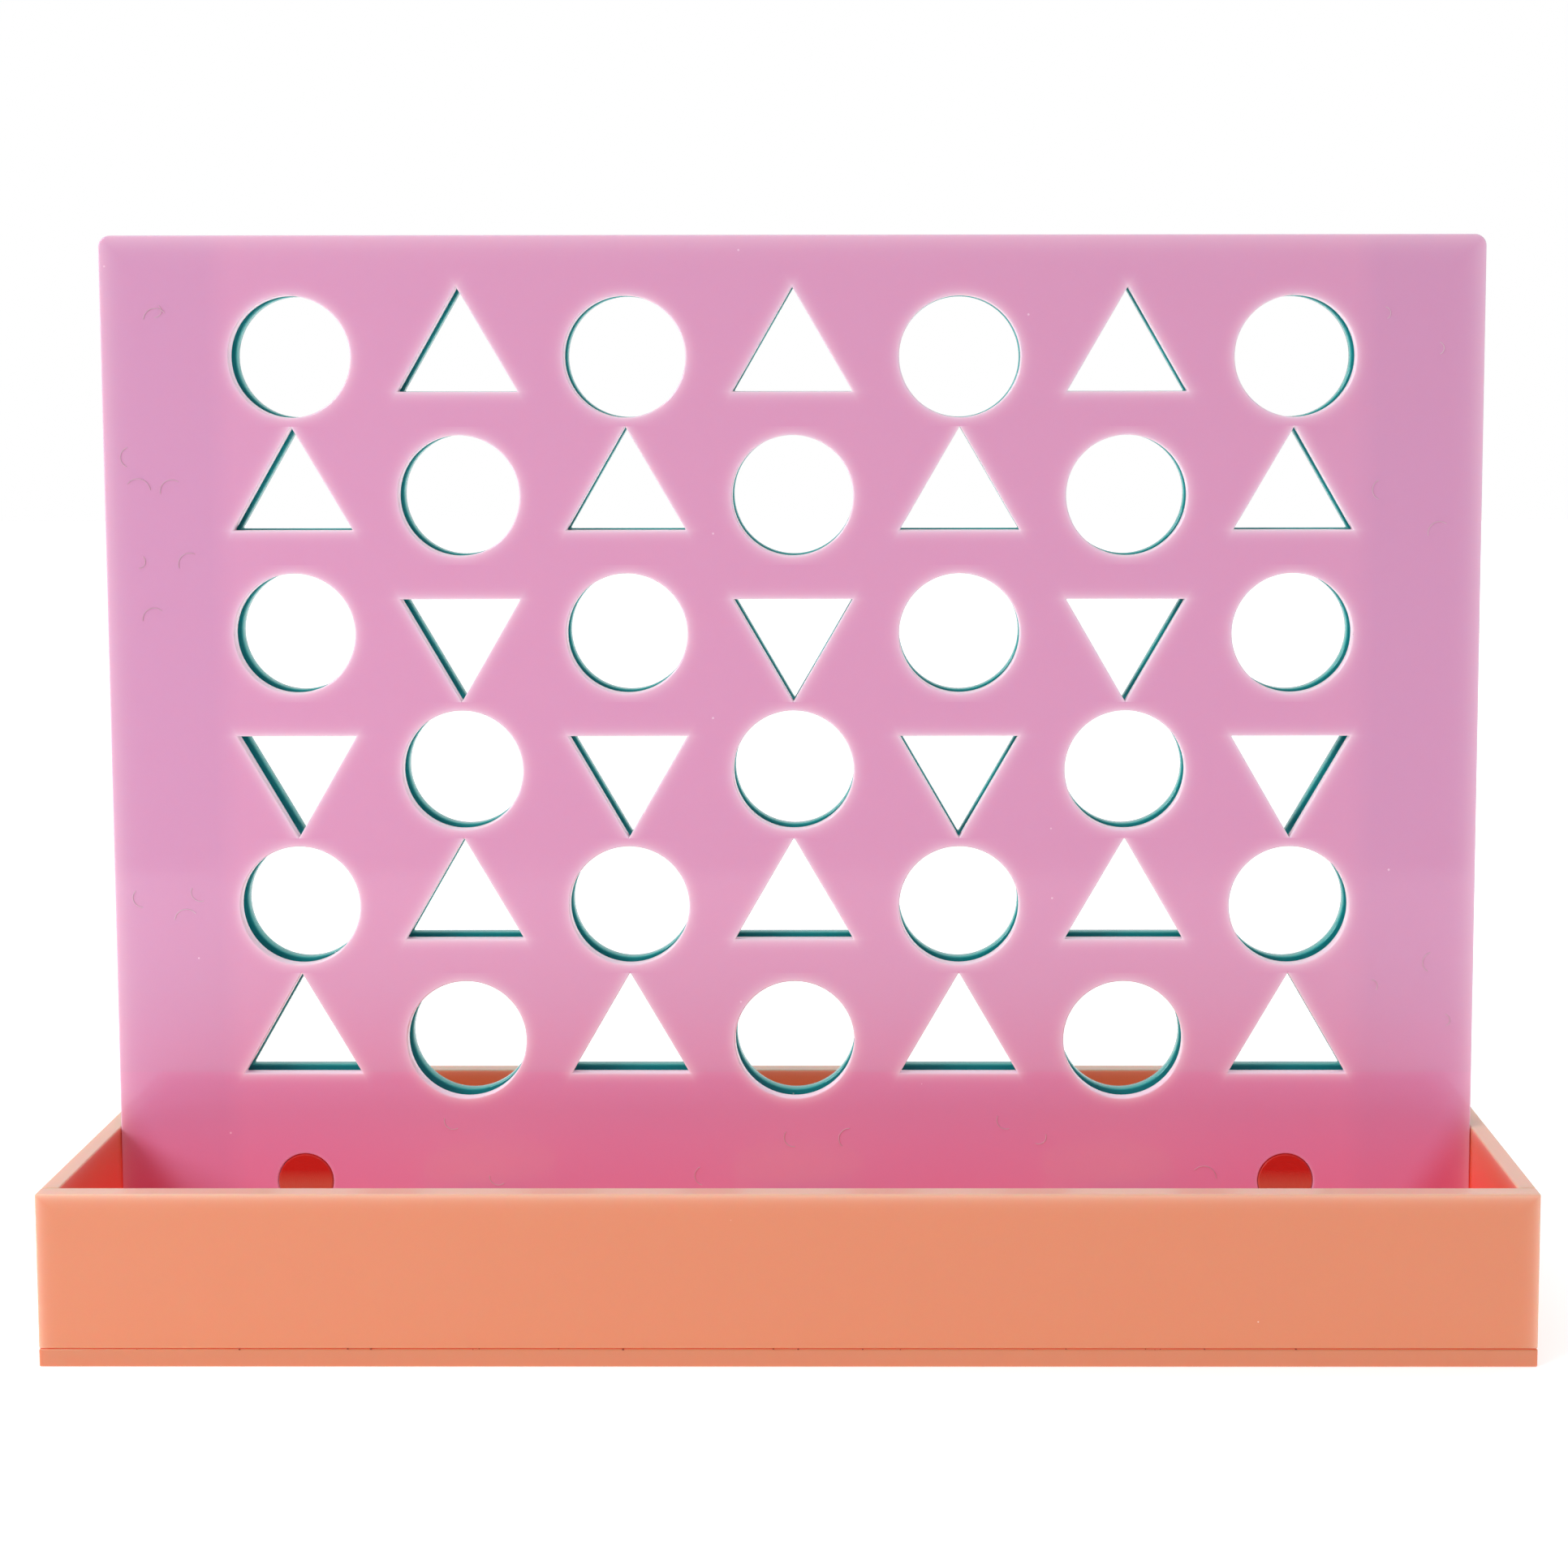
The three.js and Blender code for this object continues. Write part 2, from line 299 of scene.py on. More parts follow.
def cast_acrylic(name, colours, light_maker, polish, stretch, milk, painted_light_and_shade_maker=None):
    """A milky acrylic. colours: face, haze, painted edge highlight, dust; light_maker(tree, position) masks
    edges.

    milk is the weight of light scattered inside, how far each primary colour goes, and the scale of that.
    The maker given last returns the face colour with painted light and shade, and a painted glow.
    """
    face, haze, edge, dust_colour = colours
    material = bpy.data.materials.new(name)
    material.use_nodes = True
    tree = material.node_tree
    shader = tree.nodes["Principled BSDF"]
    position = node(tree, "ShaderNodeTexCoord").outputs["Object"]
    light = light_maker(tree, position)
    body = use_group(tree, cast_haze,
                     {"Position": position, "Face Colour": face, "Haze Colour": haze, "Amount": 0.9})
    marks = use_group(tree, handling_marks,
                      {"Position": position, "Polish": polish, "Smudge": 0.06, "Scratch": 0.05})
    dust = use_group(tree, dust_specks, {"Position": position, "Cells": 150.0, "Size": 0.07})
    sawn = use_group(tree, saw_marks, {"Position": position, "Stretch": stretch})
    inner = body["Colour"]
    # Painted light and shade from the surroundings go into the face colour, and a painted glow goes into
    # emission.
    if painted_light_and_shade_maker:
        inner, glow = painted_light_and_shade_maker(tree, position, inner)
        tree.links.new(glow, shader.inputs["Emission Color"])
        shader.inputs["Emission Strength"].default_value = 1.0
    # Painted highlight: the face colour fades into the pale edge colour along cut edges and rims.
    face_with_painted_highlight = blend_colour(tree, light, inner, edge)
    dusty = blend_colour(tree, calc(tree, "MULTIPLY", dust["Speck"], 0.55), face_with_painted_highlight, dust_colour)
    tree.links.new(dusty, shader.inputs["Base Color"])
    on_edge = node(tree, "ShaderNodeMapRange", {0: light, 1: 0.9, 2: 1.0, 3: 0.0, 4: 1.0}).outputs[0]
    rough = calc(tree, "ADD", marks["Roughness"], calc(tree, "MULTIPLY", on_edge, 0.08))
    rough = calc(tree, "ADD", rough, calc(tree, "MULTIPLY", dust["Speck"], 0.4))
    tree.links.new(rough, shader.inputs["Roughness"])
    height = calc(tree, "ADD", marks["Height"],
                  calc(tree, "MULTIPLY", calc(tree, "MULTIPLY", sawn["Height"], on_edge), 0.04))
    height = calc(tree, "ADD", height, calc(tree, "MULTIPLY", dust["Speck"], 0.5))
    bump = node(tree, "ShaderNodeBump", {"Strength": 0.25, "Distance": 0.00006, "Height": height})
    tree.links.new(bump.outputs[0], shader.inputs["Normal"])
    shader.inputs["IOR"].default_value = 1.49
    shader.inputs["Subsurface Weight"].default_value = milk[0]
    shader.inputs["Subsurface Radius"].default_value = milk[1]
    shader.inputs["Subsurface Scale"].default_value = milk[2]
    return material


# Face, haze, cut-edge and dust colours of the coral; the cut-edge colour is a painted highlight. The base
# plate takes a darker copy without the pale edge, painted shade at the tray's foot.
CORAL = (srgb(226, 143, 104), srgb(223, 139, 100), srgb(238, 194, 170), srgb(250, 226, 214))
CORAL_SHADED_BASE = (srgb(214, 133, 96), srgb(211, 129, 92), srgb(216, 137, 100), srgb(250, 226, 214))
CORAL_MILK = (0.6, (1.0, 0.3, 0.15), 0.004)
FAR = 1.0


def coral_acrylic(name, colours, low, high, thin_axis):
    """Coral sheet with a painted highlight on the cut edges of the box low to high, except across its
    thickness and where it is cemented.
    """
    edge_low, edge_high = list(low), list(high)
    edge_low[thin_axis], edge_high[thin_axis] = -FAR, FAR
    if thin_axis != 2:
        edge_low[2] = -FAR
    stretch = [5200.0] * 3
    stretch[thin_axis] = 260.0

    def light(tree, position):
        near = {"Position": position, "Low": edge_low, "High": edge_high, "Falloff": 0.0011}
        return use_group(tree, cut_edge_light, near)["Light"]

    inner_face = high[thin_axis] if low[thin_axis] + high[thin_axis] < 0 or thin_axis == 2 else low[thin_axis]
    lit_from_behind = thin_axis == 1 and low.y > 0

    # Painted shade deepens the inner faces below the rim, and a painted glow lights them; the back wall's
    # inner face, lit from behind, gets the strongest glow.
    def inside(tree, position, colour):
        made = use_group(tree, tray_inside_painted_light, {
            "Position": position, "Colour": colour, "Axis": [float(axis == thin_axis) for axis in range(3)],
            "Inner Face": inner_face, "Rim": high.z if thin_axis != 2 else FAR, "Tint": (1.0, 0.4, 0.38, 1.0),
            "Least": 0.7 if lit_from_behind else 0.15,
            "Glow": (0.44, 0.07, 0.02, 1.0) if lit_from_behind else (0.22, 0.012, 0.008, 1.0)})
        return made["Colour"], made["Glow"]

    return cast_acrylic(name, colours, light, 0.09, stretch, CORAL_MILK, inside)


def settle_shading(mesh, flat_axes=(0, 1, 2)):
    """Smooth curved surfaces, with a crisp line round every flat face across the axes and at every corner."""
    form = bmesh.new()
    form.from_mesh(mesh)
    form.normal_update()
    flat = {face: any(abs(face.normal[axis]) > 0.9995 for axis in flat_axes) for face in form.faces}
    for face in form.faces:
        face.smooth = True
    for edge in form.edges:
        sides = [flat[face] for face in edge.link_faces]
        edge.smooth = len(set(sides)) == 1 and edge.calc_face_angle(0.0) < math.radians(50)
    form.to_mesh(mesh)
    form.free()


def make_tray_inside():
    """Painted shade and a painted glow on the faces towards the tray's inside: the colour is painted a deeper
    red the further below the rim, and the faces glow faintly, for light that has passed through coral sheet or
    bounced off it."""
    tree, given, result = new_group(
        "tray_inside_painted_light", "ShaderNodeTree",
        {"Position": "Vector", "Colour": "Color", "Axis": "Vector", "Inner Face": "Float", "Rim": "Float",
         "Least": "Float", "Tint": "Color", "Glow": "Color"}, {"Colour": "Color", "Glow": "Color"})
    across = node(tree, "ShaderNodeVectorMath", {0: given.outputs["Position"], 1: given.outputs["Axis"]},
                  operation="DOT_PRODUCT").outputs["Value"]
    gap = calc(tree, "ABSOLUTE", calc(tree, "SUBTRACT", across, given.outputs["Inner Face"]))
    height = node(tree, "ShaderNodeSeparateXYZ", {0: given.outputs["Position"]}).outputs[2]
    depth = calc(tree, "SUBTRACT", given.outputs["Rim"], height)
    deep = node(tree, "ShaderNodeMapRange",
                {0: depth, 1: 0.0002, 2: 0.016, 3: given.outputs["Least"], 4: 1.0}).outputs[0]
    amount = calc(tree, "MULTIPLY", calc(tree, "LESS_THAN", gap, 0.00006), deep)
    deepened = node(tree, "ShaderNodeMix", {0: amount, 6: given.outputs["Colour"], 7: given.outputs["Tint"]},
                    data_type="RGBA", blend_type="MULTIPLY")
    tree.links.new(deepened.outputs[2], result.inputs["Colour"])
    tree.links.new(blend_colour(tree, amount, (0.0, 0.0, 0.0, 1.0), given.outputs["Glow"]),
                   result.inputs["Glow"])
    return tree


tray_inside_painted_light = make_tray_inside()


def rounded_sheet(name, low, high, radius):
    """A rectangular piece of sheet with its edges eased by a few passes of a polishing wheel."""
    form = bmesh.new()
    bmesh.ops.create_cube(form, size=1.0)
    size = high - low
    for corner in form.verts:
        corner.co = low + Vector([size[axis] * (corner.co[axis] + 0.5) for axis in range(3)])
    bmesh.ops.bevel(form, geom=form.edges[:], offset=radius, segments=3, profile=0.5, affect="EDGES",
                    clamp_overlap=True)
    mesh = bpy.data.meshes.new(name)
    form.to_mesh(mesh)
    form.free()
    settle_shading(mesh)
    return place(name, mesh)


TRAY_SHEETS = {"base_plate": 2, "front_wall": 1, "back_wall": 1, "left_end_wall": 0, "right_end_wall": 0}
for part, thin_axis in TRAY_SHEETS.items():
    low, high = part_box(part)
    sheet = rounded_sheet(part + "_sheet", low, high, SHEET_EDGE_RADIUS)
    colours = CORAL_SHADED_BASE if part == "base_plate" else CORAL
    sheet.data.materials.append(coral_acrylic("coral_" + part, colours, low, high, thin_axis))
    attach(sheet, "tray")
    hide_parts(part)


# ---- Cement beads along the tray's seams -------------------------------------------------------------------
# The solvent cement is run into the joint between base plate and walls with a needle. Where too much went in,
# tiny dark beads and bubbles stayed along the seam, at the front and at the back.
def socket_named(tree, label):
    """The identifier of a tree's input, which is the key of a modifier's value."""
    return next(item.identifier for item in tree.interface.items_tree
                if item.name == label and item.in_out == "INPUT")


def grow(name, tree, values, extra=None):
    """Runs a Geometry Nodes tree with the given inputs and returns its result as a plain mesh object."""
    seed = place(name + "_seed", bpy.data.meshes.new(name + "_seed"))
    modifier = seed.modifiers.new("form", "NODES")
    modifier.node_group = tree
    for label, value in values.items():
        modifier[socket_named(tree, label)] = value
    if extra:
        extra(seed)
    mesh = bpy.data.meshes.new_from_object(seed.evaluated_get(bpy.context.evaluated_depsgraph_get()))
    mesh.name = name
    mesh.materials.clear()
    mesh.materials.append(values["Material"])
    mesh.polygons.foreach_set("material_index", [0] * len(mesh.polygons))
    bpy.data.objects.remove(seed)
    return place(name, mesh)


def make_bead_row():
    """Random flattened beads along a straight seam."""
    tree, given, result = new_group(
        "bead_row", "GeometryNodeTree",
        {"Half Length": "Float", "Seam": "Vector", "Beads": "Int", "Largest": "Float", "Seed": "Int",
         "Material": "Material"},
        {"Geometry": "Geometry"})
    start = node(tree, "ShaderNodeCombineXYZ",
                 {0: calc(tree, "MULTIPLY", given.outputs["Half Length"], -1.0)})
    line = node(tree, "GeometryNodeMeshLine", {"Count": given.outputs["Beads"]}, mode="END_POINTS")
    tree.links.new(start.outputs[0], line.inputs["Start Location"])
    end = node(tree, "ShaderNodeCombineXYZ", {0: given.outputs["Half Length"]})
    tree.links.new(end.outputs[0], line.inputs["Offset"])
    jump = node(tree, "FunctionNodeRandomValue", {"Seed": given.outputs["Seed"]}, data_type="FLOAT_VECTOR")
    jump.inputs[0].default_value = (-0.03, 0.0, -0.0001)
    jump.inputs[1].default_value = (0.03, 0.0, 0.0001)
    moved = node(tree, "GeometryNodeSetPosition", {"Geometry": line.outputs[0], "Offset": jump.outputs[0]})
    ball = node(tree, "GeometryNodeMeshUVSphere", {"Segments": 10, "Rings": 6, "Radius": 0.5})
    size = node(tree, "FunctionNodeRandomValue", {"Seed": given.outputs["Seed"]}, data_type="FLOAT")
    size.inputs[2].default_value = 0.3
    size.inputs[3].default_value = 1.0
    across = calc(tree, "MULTIPLY", size.outputs[1], given.outputs["Largest"])
    shape = node(tree, "ShaderNodeCombineXYZ", {0: across, 1: calc(tree, "MULTIPLY", across, 0.5),
                                                2: calc(tree, "MULTIPLY", across, 0.8)})
    beads = node(tree, "GeometryNodeInstanceOnPoints",
                 {"Points": moved.outputs[0], "Instance": ball.outputs[0],
                                                        "Scale": shape.outputs[0]})
    lifted = node(tree, "GeometryNodeTransform",
                  {"Geometry": beads.outputs[0], "Translation": given.outputs["Seam"]})
    real = node(tree, "GeometryNodeRealizeInstances", {0: lifted.outputs[0]})
    dressed = node(tree, "GeometryNodeSetMaterial",
                   {0: real.outputs[0], "Material": given.outputs["Material"]})
    tree.links.new(dressed.outputs[0], result.inputs["Geometry"])
    return tree


def dark_cement():
    """Cement that took up some of the sheet's colour and a little dirt."""
    material = bpy.data.materials.new("dark_cement")
    material.use_nodes = True
    tree = material.node_tree
    shader = tree.nodes["Principled BSDF"]
    position = node(tree, "ShaderNodeTexCoord").outputs["Object"]
    dirt = use_group(tree, cast_haze, {"Position": position, "Face Colour": srgb(170, 74, 46),
                                       "Haze Colour": srgb(120, 48, 34), "Amount": 1.0})
    tree.links.new(dirt["Colour"], shader.inputs["Base Color"])
    marks = use_group(tree, handling_marks,
                      {"Position": position, "Polish": 0.2, "Smudge": 0.2, "Scratch": 0.0})
    tree.links.new(marks["Roughness"], shader.inputs["Roughness"])
    return material


bead_row = make_bead_row()
cement = dark_cement()
seam_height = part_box("base_plate")[1].z
for side, wall_face, seed in (("front", cad_low.y, 4), ("back", cad_high.y, 9)):
    beads = grow(side + "_cement_beads", bead_row, {
        "Half Length": cad_high.x - 0.035,
        "Seam": (0.0, wall_face + (0.00003 if side == "front" else -0.00003), seam_height),
        "Beads": 19, "Largest": 0.0006, "Seed": seed, "Material": cement})
    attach(beads, "tray")


# ---- Board: pink front panel and teal back panel -----------------------------------------------------------
# Two laser-cut sheets with the same forty-two windows, round and triangular by turns like a chequerboard.
# Every window is a little smaller than the token behind it, and a triangle's corners reach just to the
# token's rim.
token_low, token_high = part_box("yellow_token_01")
token_radius = (token_high.x - token_low.x) / 2
first_divider, second_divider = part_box("column_divider_1"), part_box("column_divider_2")
column_pitch = second_divider[0].x - first_divider[0].x
row_pitch = token_radius * 2
rail_low, rail_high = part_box("token_rail")
bottom_row_height = rail_high.z + token_radius
stud_low, stud_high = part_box("left_stud")
stud_centre = (stud_low + stud_high) / 2
COLUMNS = 7
ROWS = 6
WINDOW_LIP = 0.00225
WINDOW_EASING = 0.0003
PANEL_CORNER_RADIUS = 0.003
STUD_HOLE_CLEARANCE = 0.00015


def make_window_light():
    """The mask of the painted highlight round the windows: near a window's rim it is 1 on the cut, fading over
    Falloff.
    """
    tree, given, result = new_group(
        "window_light", "ShaderNodeTree",
        {"Position": "Vector", "Column Pitch": "Float", "Row Pitch": "Float", "Bottom Row": "Float",
         "Circle": "Float", "Corner": "Float", "Falloff": "Float"}, {"Light": "Float"})
    point = node(tree, "ShaderNodeSeparateXYZ", {0: given.outputs["Position"]})

    def cell(value, pitch, first, last):
        number = calc(tree, "ROUND", calc(tree, "DIVIDE", value, pitch))
        number = calc(tree, "MINIMUM", calc(tree, "MAXIMUM", number, float(first)), float(last))
        return number, calc(tree, "SUBTRACT", value, calc(tree, "MULTIPLY", number, pitch))

    side = (COLUMNS - 1) // 2
    height = calc(tree, "SUBTRACT", point.outputs[2], given.outputs["Bottom Row"])
    column, across = cell(point.outputs[0], given.outputs["Column Pitch"], -side, side)
    row, up = cell(height, given.outputs["Row Pitch"], 0, ROWS - 1)
    is_circle = calc(tree, "PINGPONG", calc(tree, "ADD", calc(tree, "ADD", column, row), float(side)), 1.0)
    from_middle = calc(tree, "ABSOLUTE", calc(tree, "SUBTRACT", row, (ROWS - 1) / 2))
    points_up = calc(tree, "SUBTRACT",
                     calc(tree, "MULTIPLY", calc(tree, "GREATER_THAN", from_middle, 1.0), 2.0), 1.0)
    upright = calc(tree, "MULTIPLY", up, points_up)
    from_centre = calc(tree, "SQRT", calc(tree, "ADD", calc(tree, "MULTIPLY", across, across),
                                          calc(tree, "MULTIPLY", up, up)))
    from_circle = calc(tree, "SUBTRACT", from_centre, given.outputs["Circle"])
    slope = calc(tree, "ADD",
                 calc(tree, "MULTIPLY", calc(tree, "ABSOLUTE", across), math.cos(math.radians(30))),
                 calc(tree, "MULTIPLY", upright, 0.5))
    side_reach = calc(tree, "MAXIMUM", slope, calc(tree, "MULTIPLY", upright, -1.0))
    from_sides = calc(tree, "SUBTRACT", side_reach, calc(tree, "MULTIPLY", given.outputs["Corner"], 0.5))
    from_corners = calc(tree, "SUBTRACT", from_centre, given.outputs["Corner"])
    from_triangle = calc(tree, "MAXIMUM", from_sides, from_corners)
    chosen = calc(tree, "MULTIPLY_ADD", is_circle, calc(tree, "SUBTRACT", from_circle, from_triangle),
                  from_triangle)
    depth = calc(tree, "DIVIDE", calc(tree, "MAXIMUM", chosen, 0.0), given.outputs["Falloff"])
    tree.links.new(calc(tree, "EXPONENT", calc(tree, "MULTIPLY", depth, -1.0)), result.inputs["Light"])
    return tree


window_light = make_window_light()


def make_pierced_panel():
    """A board sheet: outline, chequered windows and two stud holes, filled, thickened and stood upright."""
    tree, given, result = new_group(
        "pierced_panel", "GeometryNodeTree",
        {"Half Width": "Float", "Foot": "Float", "Top": "Float", "Corner Radius": "Float",
         "Column Pitch": "Float", "Row Pitch": "Float", "Bottom Row": "Float", "Circle": "Float",
         "Corner": "Float",
         "Stud Side": "Float", "Stud Height": "Float", "Stud Hole": "Float", "Front": "Float",
         "Thickness": "Float",
         "Material": "Material"}, {"Geometry": "Geometry"})
    size = given.outputs
    width = calc(tree, "MULTIPLY", size["Half Width"], 2.0)
    frame_curve = node(tree, "GeometryNodeCurvePrimitiveQuadrilateral",
                       {"Width": width, "Height": calc(tree, "SUBTRACT", size["Top"], size["Foot"])})
    middle = calc(tree, "MULTIPLY", calc(tree, "ADD", size["Top"], size["Foot"]), 0.5)
    centred = node(tree, "GeometryNodeTransform",
                   {"Geometry": frame_curve.outputs[0],
                    "Translation": node(tree, "ShaderNodeCombineXYZ", {1: middle}).outputs[0]})
    rounded = node(tree, "GeometryNodeFilletCurve",
                   {"Curve": centred.outputs[0], "Radius": size["Corner Radius"],
                                                     "Count": 8}, mode="POLY")
    grid = node(tree, "GeometryNodeMeshGrid", {
        "Size X": calc(tree, "MULTIPLY", size["Column Pitch"], COLUMNS - 1.0),
        "Size Y": calc(tree, "MULTIPLY", size["Row Pitch"], ROWS - 1.0), "Vertices X": COLUMNS,
        "Vertices Y": ROWS})
    place_of = node(tree, "ShaderNodeSeparateXYZ", {0: node(tree, "GeometryNodeInputPosition").outputs[0]})
    column = calc(tree, "ROUND", calc(tree, "DIVIDE", place_of.outputs[0], size["Column Pitch"]))
    row_offset = (ROWS - 1) / 2
    row = calc(tree, "ROUND",
               calc(tree, "ADD", calc(tree, "DIVIDE", place_of.outputs[1], size["Row Pitch"]), row_offset))
    parity = calc(tree, "PINGPONG", calc(tree, "ADD", calc(tree, "ADD", column, row), (COLUMNS - 1) / 2), 1.0)
    is_circle = calc(tree, "GREATER_THAN", parity, 0.5)
    is_triangle = calc(tree, "LESS_THAN", parity, 0.5)
    outer_row = calc(tree, "GREATER_THAN", calc(tree, "ABSOLUTE", calc(tree, "SUBTRACT", row, row_offset)),
                     1.0)
    turn = calc(tree, "MULTIPLY", calc(tree, "SUBTRACT", outer_row, 0.5), math.pi)
    circle = node(tree, "GeometryNodeCurvePrimitiveCircle", {"Resolution": 96, "Radius": size["Circle"]})
    triangle = node(tree, "GeometryNodeCurvePrimitiveCircle", {"Resolution": 3, "Radius": size["Corner"]})
    circles = node(tree, "GeometryNodeInstanceOnPoints",
                   {"Points": grid.outputs[0], "Selection": is_circle, "Instance": circle.outputs[0]})
    triangles = node(tree, "GeometryNodeInstanceOnPoints",
                     {"Points": grid.outputs[0], "Selection": is_triangle, "Instance": triangle.outputs[0],
                      "Rotation": node(tree, "ShaderNodeCombineXYZ", {2: turn}).outputs[0]})
    grid_middle = calc(tree, "ADD", size["Bottom Row"], calc(tree, "MULTIPLY", size["Row Pitch"], row_offset))
    windows = node(tree, "GeometryNodeJoinGeometry")
    for shapes in (circles, triangles):
        tree.links.new(shapes.outputs[0], windows.inputs[0])
    raised = node(tree, "GeometryNodeTransform",
                  {"Geometry": windows.outputs[0],
                   "Translation": node(tree, "ShaderNodeCombineXYZ", {1: grid_middle}).outputs[0]})
    outlines = node(tree, "GeometryNodeJoinGeometry")
    stud_hole = node(tree, "GeometryNodeCurvePrimitiveCircle",
                     {"Resolution": 64, "Radius": size["Stud Hole"]})
    for direction in (-1.0, 1.0):
        sideways = calc(tree, "MULTIPLY", size["Stud Side"], direction)
        spot = node(tree, "ShaderNodeCombineXYZ", {0: sideways, 1: size["Stud Height"]})
        hole = node(tree, "GeometryNodeTransform",
                    {"Geometry": stud_hole.outputs[0], "Translation": spot.outputs[0]})
        tree.links.new(hole.outputs[0], outlines.inputs[0])
    tree.links.new(raised.outputs[0], outlines.inputs[0])
    tree.links.new(rounded.outputs[0], outlines.inputs[0])
    curves = node(tree, "GeometryNodeRealizeInstances", {0: outlines.outputs[0]})
    flat = node(tree, "GeometryNodeFillCurve", {"Curve": curves.outputs[0]}, mode="NGONS")
    thick = node(tree, "GeometryNodeExtrudeMesh", {"Mesh": flat.outputs[0], "Offset Scale": size["Thickness"],
                                                   "Individual": False})
    under = node(tree, "GeometryNodeFlipFaces", {0: flat.outputs[0]})
    shell = node(tree, "GeometryNodeJoinGeometry")
    for half in (thick, under):
        tree.links.new(half.outputs[0], shell.inputs[0])
    welded = node(tree, "GeometryNodeMergeByDistance", {0: shell.outputs[0], "Distance": 0.00001})
    back = calc(tree, "ADD", size["Front"], size["Thickness"])
    upright = node(tree, "GeometryNodeTransform",
                   {"Geometry": welded.outputs[0], "Rotation": (math.pi / 2, 0.0, 0.0),
                    "Translation": node(tree, "ShaderNodeCombineXYZ", {1: back}).outputs[0]})
    real = node(tree, "GeometryNodeRealizeInstances", {0: upright.outputs[0]})
    dressed = node(tree, "GeometryNodeSetMaterial", {0: real.outputs[0], "Material": size["Material"]})
    tree.links.new(dressed.outputs[0], result.inputs["Geometry"])
    return tree


def refill_flats(mesh, levels):
    """Fills the flat faces at the given depths anew, after the easing of their borders has moved those."""
    form = bmesh.new()
    form.from_mesh(mesh)
    for level in levels:
        flats = [face for face in form.faces
                 if all(abs(corner.co.y - level) < 0.000002 for corner in face.verts)]
        rim = [edge for edge in {edge for face in flats for edge in face.edges}
               if sum(face in flats for face in edge.link_faces) == 1]
        bmesh.ops.delete(form, geom=flats, context="FACES_KEEP_BOUNDARY")
        loose = [edge for edge in form.edges if not edge.link_faces]
        bmesh.ops.delete(form, geom=loose, context="EDGES")
        bmesh.ops.triangle_fill(form, use_beauty=True, edges=[edge for edge in rim if edge.is_valid])
    bmesh.ops.recalc_face_normals(form, faces=form.faces)
    form.to_mesh(mesh)
    form.free()


def ease_edges(width, segments):
    """A Bevel for the sharp edges of a piece that is still being grown."""
    def add(seed):
        bevel = seed.modifiers.new("eased_edges", "BEVEL")
        bevel.width = width
        bevel.segments = segments
        bevel.limit_method = "ANGLE"
        bevel.angle_limit = math.radians(40)
        bevel.use_clamp_overlap = False
    return add


def make_light_from_tray():
    """Painted light and shade on the pink sheet's face from its surroundings: coral light is painted into its
    foot, up to the height where the tray's back wall ends behind it, its lower corners are painted a deeper
    red as shade from the end walls, its margins are painted a little darker where the side strips are cemented
    to its back, and the foot is given a faint painted glow."""
    tree, given, result = new_group(
        "light_from_tray", "ShaderNodeTree",
        {"Position": "Vector", "Colour": "Color", "Foot Painted Light": "Color", "Strip Painted Shade": "Color",
         "Glow": "Color",
         "Corner Painted Shade": "Color", "Wall Line": "Float", "Strip Side": "Float", "End": "Float"},
        {"Colour": "Color", "Glow": "Color"})
    axes = node(tree, "ShaderNodeSeparateXYZ", {0: given.outputs["Position"]})
    below = calc(tree, "SUBTRACT", given.outputs["Wall Line"], axes.outputs[2])
    behind = node(tree, "ShaderNodeMapRange", {0: below, 1: -0.0007, 2: 0.0007, 3: 0.0, 4: 0.7}).outputs[0]
    near = node(tree, "ShaderNodeMapRange", {0: below, 1: 0.0, 2: 0.02, 3: 0.0, 4: 0.3}).outputs[0]
    above = node(tree, "ShaderNodeMapRange", {0: below, 1: -0.024, 2: 0.0, 3: 0.0, 4: 0.42},
                 interpolation_type="SMOOTHSTEP").outputs[0]
    foot = calc(tree, "MAXIMUM", calc(tree, "ADD", behind, near), above)
    footed = node(tree, "ShaderNodeMix", {0: foot, 6: given.outputs["Colour"], 7: given.outputs["Foot Painted Light"]},
                  data_type="RGBA", blend_type="MULTIPLY")
    beyond = calc(tree, "SUBTRACT", calc(tree, "ABSOLUTE", axes.outputs[0]), given.outputs["Strip Side"])
    strip = node(tree, "ShaderNodeMapRange", {0: beyond, 1: -0.004, 2: 0.003, 3: 0.0, 4: 1.0}).outputs[0]
    stripped = node(tree, "ShaderNodeMix", {0: strip, 6: footed.outputs[2], 7: given.outputs["Strip Painted Shade"]},
                    data_type="RGBA", blend_type="MULTIPLY")
    to_end = calc(tree, "SUBTRACT", given.outputs["End"], calc(tree, "ABSOLUTE", axes.outputs[0]))
    reach = calc(tree, "MULTIPLY", calc(tree, "SUBTRACT", given.outputs["Wall Line"], axes.outputs[2]), 0.6)
    shade = calc(tree, "SUBTRACT", calc(tree, "SUBTRACT", reach, to_end), 0.0055)
    corner = node(tree, "ShaderNodeMapRange", {0: shade, 1: -0.006, 2: 0.006, 3: 0.0, 4: 1.0},
                  interpolation_type="SMOOTHSTEP").outputs[0]
    cornered = node(tree, "ShaderNodeMix",
                    {0: corner, 6: stripped.outputs[2], 7: given.outputs["Corner Painted Shade"]},
                    data_type="RGBA", blend_type="MULTIPLY")
    tree.links.new(cornered.outputs[2], result.inputs["Colour"])
    lit = calc(tree, "MULTIPLY", foot, calc(tree, "SUBTRACT", 1.0, calc(tree, "MULTIPLY", corner, 0.7)))
    tree.links.new(blend_colour(tree, lit, (0.0, 0.0, 0.0, 1.0), given.outputs["Glow"]),
                   result.inputs["Glow"])
    return tree


